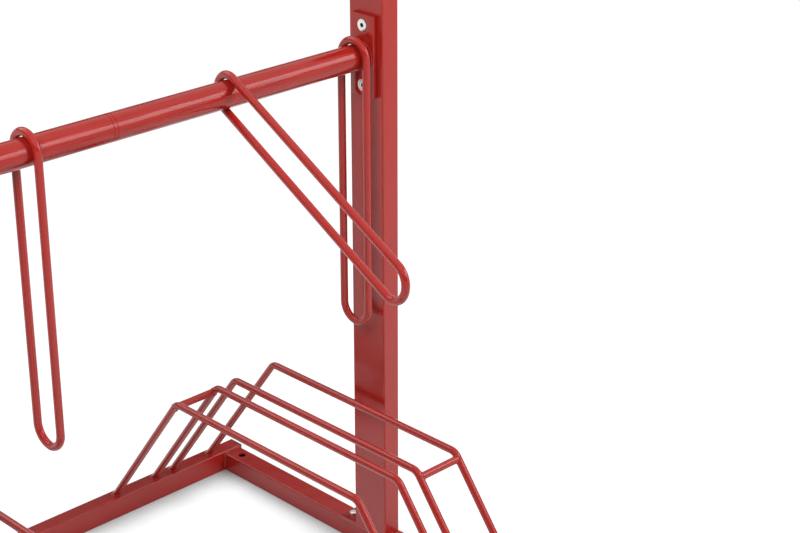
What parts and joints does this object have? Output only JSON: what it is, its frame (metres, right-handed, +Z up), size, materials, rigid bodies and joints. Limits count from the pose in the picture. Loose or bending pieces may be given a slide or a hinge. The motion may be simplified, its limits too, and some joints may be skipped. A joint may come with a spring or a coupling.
{
  "type": "bike rack",
  "caption": "Two-sided bicycle stand: bent-rod wheel holders on a box-section ground frame, posts and a round top tube with swinging closed lock loops.",
  "frame": {"origin": "on the ground, midway between the two posts and between the two rails", "axes": "+X along the top tube towards the right-hand post, +Y across the rack to the rear, +Z up"},
  "size_m": [0.787, 0.693, 0.853],
  "materials": {
    "red_powder_coat": "semi-gloss red powder coat on steel",
    "zinc_plated_steel": "bright zinc plating",
    "black_plastic": "matt black moulded plastic"
  },
  "bodies": {
    "rack": {"post_right": "red_powder_coat", "post_cap_right": "black_plastic", "base_plate_right": "red_powder_coat", "base_bolts_right": "zinc_plated_steel", "foot_weld_nuts_right": "zinc_plated_steel", "foot_right": "red_powder_coat", "top_tube_right": "red_powder_coat", "end_plate_right": "red_powder_coat", "plate_screws_right": "zinc_plated_steel", "post_weld_nuts_right": "zinc_plated_steel", "post_left": "red_powder_coat", "post_cap_left": "black_plastic", "base_plate_left": "red_powder_coat", "base_bolts_left": "zinc_plated_steel", "foot_weld_nuts_left": "zinc_plated_steel", "foot_left": "red_powder_coat", "top_tube_left": "red_powder_coat", "end_plate_left": "red_powder_coat", "plate_screws_left": "zinc_plated_steel", "post_weld_nuts_left": "zinc_plated_steel", "tube_coupler": "red_powder_coat", "rail_front": "red_powder_coat", "rail_rear": "red_powder_coat", "rail_plugs_front": "black_plastic", "rail_plugs_rear": "black_plastic", "holder_1_rod_right": "red_powder_coat", "holder_1_rod_left": "red_powder_coat", "holder_1_crossbar": "red_powder_coat", "holder_2_rod_right": "red_powder_coat", "holder_2_rod_left": "red_powder_coat", "holder_2_crossbar": "red_powder_coat", "holder_3_rod_right": "red_powder_coat", "holder_3_rod_left": "red_powder_coat", "holder_3_crossbar": "red_powder_coat", "holder_4_rod_right": "red_powder_coat", "holder_4_rod_left": "red_powder_coat", "holder_4_crossbar": "red_powder_coat"},
    "loop_1": {"lock_loop_1": "red_powder_coat"},
    "loop_2": {"lock_loop_2": "red_powder_coat"},
    "loop_3": {"lock_loop_3": "red_powder_coat"},
    "loop_4": {"lock_loop_4": "red_powder_coat"}
  },
  "joints": [
    {"name": "loop_1_swing", "type": "hinge", "parent": "rack", "child": "loop_1", "pos_m": [0.335, 0, 0.725], "axis": [1, 0, 0], "continuous": true},
    {"name": "loop_2_swing", "type": "hinge", "parent": "rack", "child": "loop_2", "pos_m": [0.133, 0, 0.725], "axis": [1, 0, 0], "continuous": true},
    {"name": "loop_3_swing", "type": "hinge", "parent": "rack", "child": "loop_3", "pos_m": [-0.1515, 0, 0.725], "axis": [1, 0, 0], "continuous": true},
    {"name": "loop_4_swing", "type": "hinge", "parent": "rack", "child": "loop_4", "pos_m": [-0.335, 0, 0.725], "axis": [1, 0, 0], "continuous": true}
  ]
}
